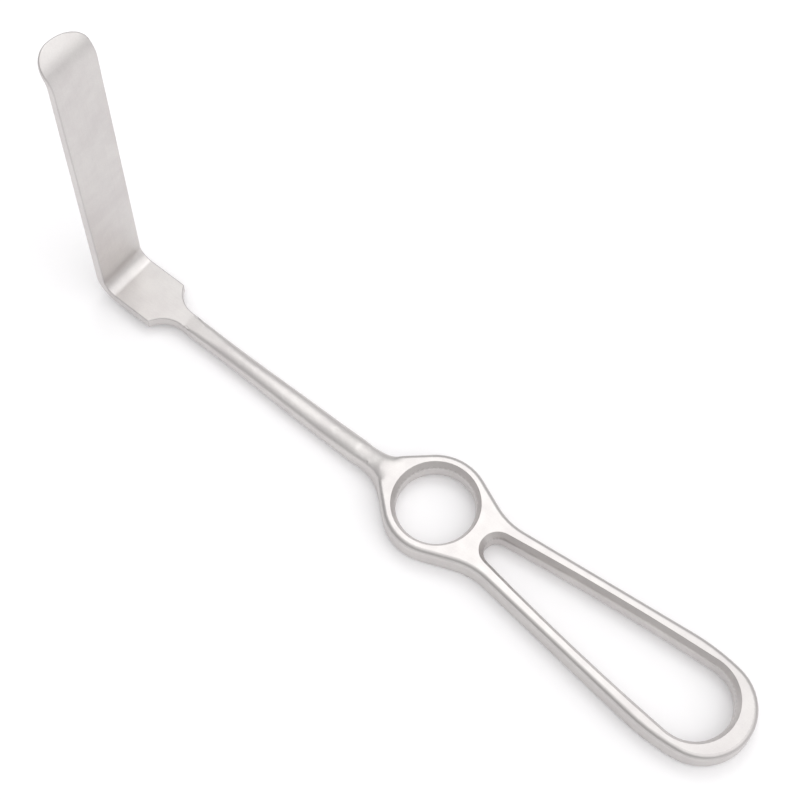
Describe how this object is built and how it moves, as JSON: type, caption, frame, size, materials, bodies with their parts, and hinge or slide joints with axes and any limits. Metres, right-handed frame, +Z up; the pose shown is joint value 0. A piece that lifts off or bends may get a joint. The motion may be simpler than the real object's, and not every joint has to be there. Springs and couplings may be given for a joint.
{
  "type": "handheld surgical retractor",
  "caption": "One-piece steel retractor: a long flat blade with a curled tip, bent up from a slim shaft that ends in a finger ring and an open loop handle.",
  "frame": {"origin": "middle of the web between the finger hole and the loop, on the flat underside of the handle", "axes": "+X along the handle to the closed end of the loop, +Z up out of the underside, the way the blade stands"},
  "size_m": [0.2185, 0.0292, 0.1097],
  "materials": {
    "satin_steel": "fine satin blasted stainless steel"
  },
  "bodies": {
    "root": {"retractor": "satin_steel"}
  },
  "joints": []
}
